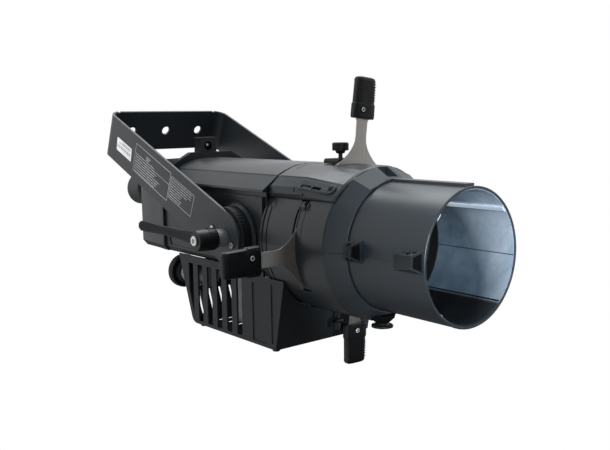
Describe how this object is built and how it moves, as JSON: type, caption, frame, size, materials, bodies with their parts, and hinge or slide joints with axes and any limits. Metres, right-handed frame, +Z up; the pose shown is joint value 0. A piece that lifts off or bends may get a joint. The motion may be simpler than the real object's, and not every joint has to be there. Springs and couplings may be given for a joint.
{
  "type": "ellipsoidal spotlight",
  "caption": "Stage profile spotlight: finned LED head with driver box, hanging yoke with tilt lever, rotating gate barrel, framing shutters and a focusing lens tube.",
  "frame": {"origin": "clamp face: on the outer face of the yoke's crossbar, 22 mm above the middle clamp hole", "axes": "+X along the tilt axis towards the far side, away from the tilt lever; -Y is the way the beam leaves, +Z is up with the optical axis level and the yoke leaning back 22.5 degrees above it"},
  "size_m": [0.422, 0.7194, 0.3959],
  "materials": {
    "black_powder_coat": "fine textured satin",
    "dark_grey_powder_coat": "fine textured satin",
    "black_nylon": "matte",
    "dark_rubber": "matte",
    "brushed_stainless": "brushed",
    "bright_steel": "bright",
    "raw_aluminium": "raw, cloudy",
    "lens_glass": "polished",
    "polished_reflector": "polished",
    "circuit_board": "satin"
  },
  "bodies": {
    "yoke": {"yoke_bracket": "dark_grey_powder_coat", "friction_disc_near": "black_nylon", "friction_disc_far": "black_nylon", "tilt_spacer": "raw_aluminium", "tilt_bolt_near": "bright_steel"},
    "head": {"head_housing": "black_powder_coat", "top_cover": "black_powder_coat", "side_boss_near": "black_powder_coat", "side_boss_far": "black_powder_coat", "rear_cap": "black_powder_coat", "control_panel": "black_nylon", "safety_eye": "black_powder_coat", "driver_shroud": "black_powder_coat", "base_plate": "black_powder_coat", "power_supply": "raw_aluminium", "power_inlet": "raw_aluminium", "data_input": "black_nylon", "data_output": "black_nylon", "heat_sink": "raw_aluminium", "fan_frame": "black_nylon", "led_module": "circuit_board", "collimator": "polished_reflector", "condenser_lens": "lens_glass", "bearing_ring": "black_powder_coat"},
    "tilt_lever": {"tilt_lever": "black_nylon", "tilt_lever_screw": "bright_steel"},
    "tilt_knob_far": {"tilt_knob_far": "black_nylon"},
    "rear_knob": {"rear_knob": "black_nylon"},
    "inlet_cap": {"inlet_cap": "dark_rubber"},
    "fan_rotor": {"fan_rotor": "black_nylon"},
    "menu_button_1": {"menu_button_1": "black_nylon"},
    "menu_button_2": {"menu_button_2": "black_nylon"},
    "menu_button_3": {"menu_button_3": "black_nylon"},
    "menu_button_4": {"menu_button_4": "black_nylon"},
    "barrel": {"barrel_upper": "black_powder_coat", "barrel_lower": "black_powder_coat", "focus_collar_upper": "black_powder_coat", "focus_collar_lower": "black_powder_coat", "gate_plate_front": "raw_aluminium", "gate_plate_rear": "raw_aluminium"},
    "shutter_near": {"shutter_blade_near": "brushed_stainless", "shutter_handle_near": "black_nylon"},
    "shutter_far": {"shutter_blade_far": "brushed_stainless", "shutter_handle_far": "black_nylon"},
    "shutter_top": {"shutter_blade_top": "brushed_stainless", "shutter_handle_top": "black_nylon"},
    "shutter_bottom": {"shutter_blade_bottom": "brushed_stainless", "shutter_handle_bottom": "black_nylon"},
    "slot_cover": {"slot_cover": "black_nylon"},
    "top_thumbscrew": {"top_thumbscrew": "black_nylon"},
    "bottom_thumbscrew": {"bottom_thumbscrew": "black_nylon"},
    "focus_knob": {"focus_knob": "black_nylon"},
    "lens_tube": {"lens_tube_upper": "black_powder_coat", "lens_tube_lower": "black_powder_coat", "tube_clip_near_front": "black_powder_coat", "tube_clip_near_rear": "black_powder_coat", "tube_clip_far_front": "black_powder_coat", "tube_clip_far_rear": "black_powder_coat", "front_lens": "lens_glass", "rear_lens": "lens_glass"}
  },
  "joints": [
    {"name": "head_tilt", "type": "hinge", "parent": "yoke", "child": "head", "pos_m": [0, -0.35005, -0.16881], "axis": [1, 0, 0], "range_deg": [-80, 110]},
    {"name": "tilt_lever_turn", "type": "hinge", "parent": "yoke", "child": "tilt_lever", "pos_m": [-0.14, -0.35005, -0.16881], "axis": [1, 0, 0], "range_deg": [-75, 75]},
    {"name": "tilt_knob_far_turn", "type": "hinge", "parent": "yoke", "child": "tilt_knob_far", "pos_m": [0.14, -0.35005, -0.16881], "axis": [1, 0, 0], "range_deg": [-180, 180]},
    {"name": "rear_knob_turn", "type": "hinge", "parent": "head", "child": "rear_knob", "pos_m": [-0.062, -0.03005, -0.12081], "axis": [0, 1, 0], "range_deg": [-135, 135]},
    {"name": "inlet_cap_turn", "type": "hinge", "parent": "head", "child": "inlet_cap", "pos_m": [-0.057, -0.14005, -0.25281], "axis": [0, 1, 0], "range_deg": [0, 90]},
    {"name": "fan_spin", "type": "hinge", "parent": "head", "child": "fan_rotor", "pos_m": [0, -0.16305, -0.14981], "axis": [0, 1, 0], "continuous": true},
    {"name": "menu_button_1_press", "type": "slide", "parent": "head", "child": "menu_button_1", "axis": [0, -1, 0], "range_m": [0, 0.0012]},
    {"name": "menu_button_2_press", "type": "slide", "parent": "head", "child": "menu_button_2", "axis": [0, -1, 0], "range_m": [0, 0.0012]},
    {"name": "menu_button_3_press", "type": "slide", "parent": "head", "child": "menu_button_3", "axis": [0, -1, 0], "range_m": [0, 0.0012]},
    {"name": "menu_button_4_press", "type": "slide", "parent": "head", "child": "menu_button_4", "axis": [0, -1, 0], "range_m": [0, 0.0012]},
    {"name": "barrel_rotation", "type": "hinge", "parent": "head", "child": "barrel", "pos_m": [0, -0.35005, -0.16881], "axis": [0, 1, 0], "range_deg": [-25, 25]},
    {"name": "shutter_near_travel", "type": "slide", "parent": "barrel", "child": "shutter_near", "axis": [-1, 0, 0], "range_m": [-0.045, 0]},
    {"name": "shutter_far_travel", "type": "slide", "parent": "barrel", "child": "shutter_far", "axis": [1, 0, 0], "range_m": [-0.045, 0]},
    {"name": "shutter_top_travel", "type": "slide", "parent": "barrel", "child": "shutter_top", "axis": [0.1115, 0, 0.9938], "range_m": [-0.048, 0]},
    {"name": "shutter_bottom_travel", "type": "slide", "parent": "barrel", "child": "shutter_bottom", "axis": [-0.0349, 0, -0.9994], "range_m": [-0.012, 0.04]},
    {"name": "slot_cover_slide", "type": "slide", "parent": "barrel", "child": "slot_cover", "axis": [0, 1, 0], "range_m": [0, 0.008]},
    {"name": "top_thumbscrew_turn", "type": "hinge", "parent": "barrel", "child": "top_thumbscrew", "pos_m": [0, -0.46855, -0.04881], "axis": [0, 0, 1], "range_deg": [-180, 180]},
    {"name": "bottom_thumbscrew_turn", "type": "hinge", "parent": "barrel", "child": "bottom_thumbscrew", "pos_m": [0, -0.46205, -0.28881], "axis": [0, 0, 1], "range_deg": [-180, 180]},
    {"name": "focus_knob_turn", "type": "hinge", "parent": "barrel", "child": "focus_knob", "pos_m": [-0.0095, -0.55755, -0.26881], "axis": [0, 0, 1], "range_deg": [-180, 180]},
    {"name": "lens_tube_focus", "type": "slide", "parent": "barrel", "child": "lens_tube", "axis": [0, -1, 0], "range_m": [0, 0.045]}
  ]
}
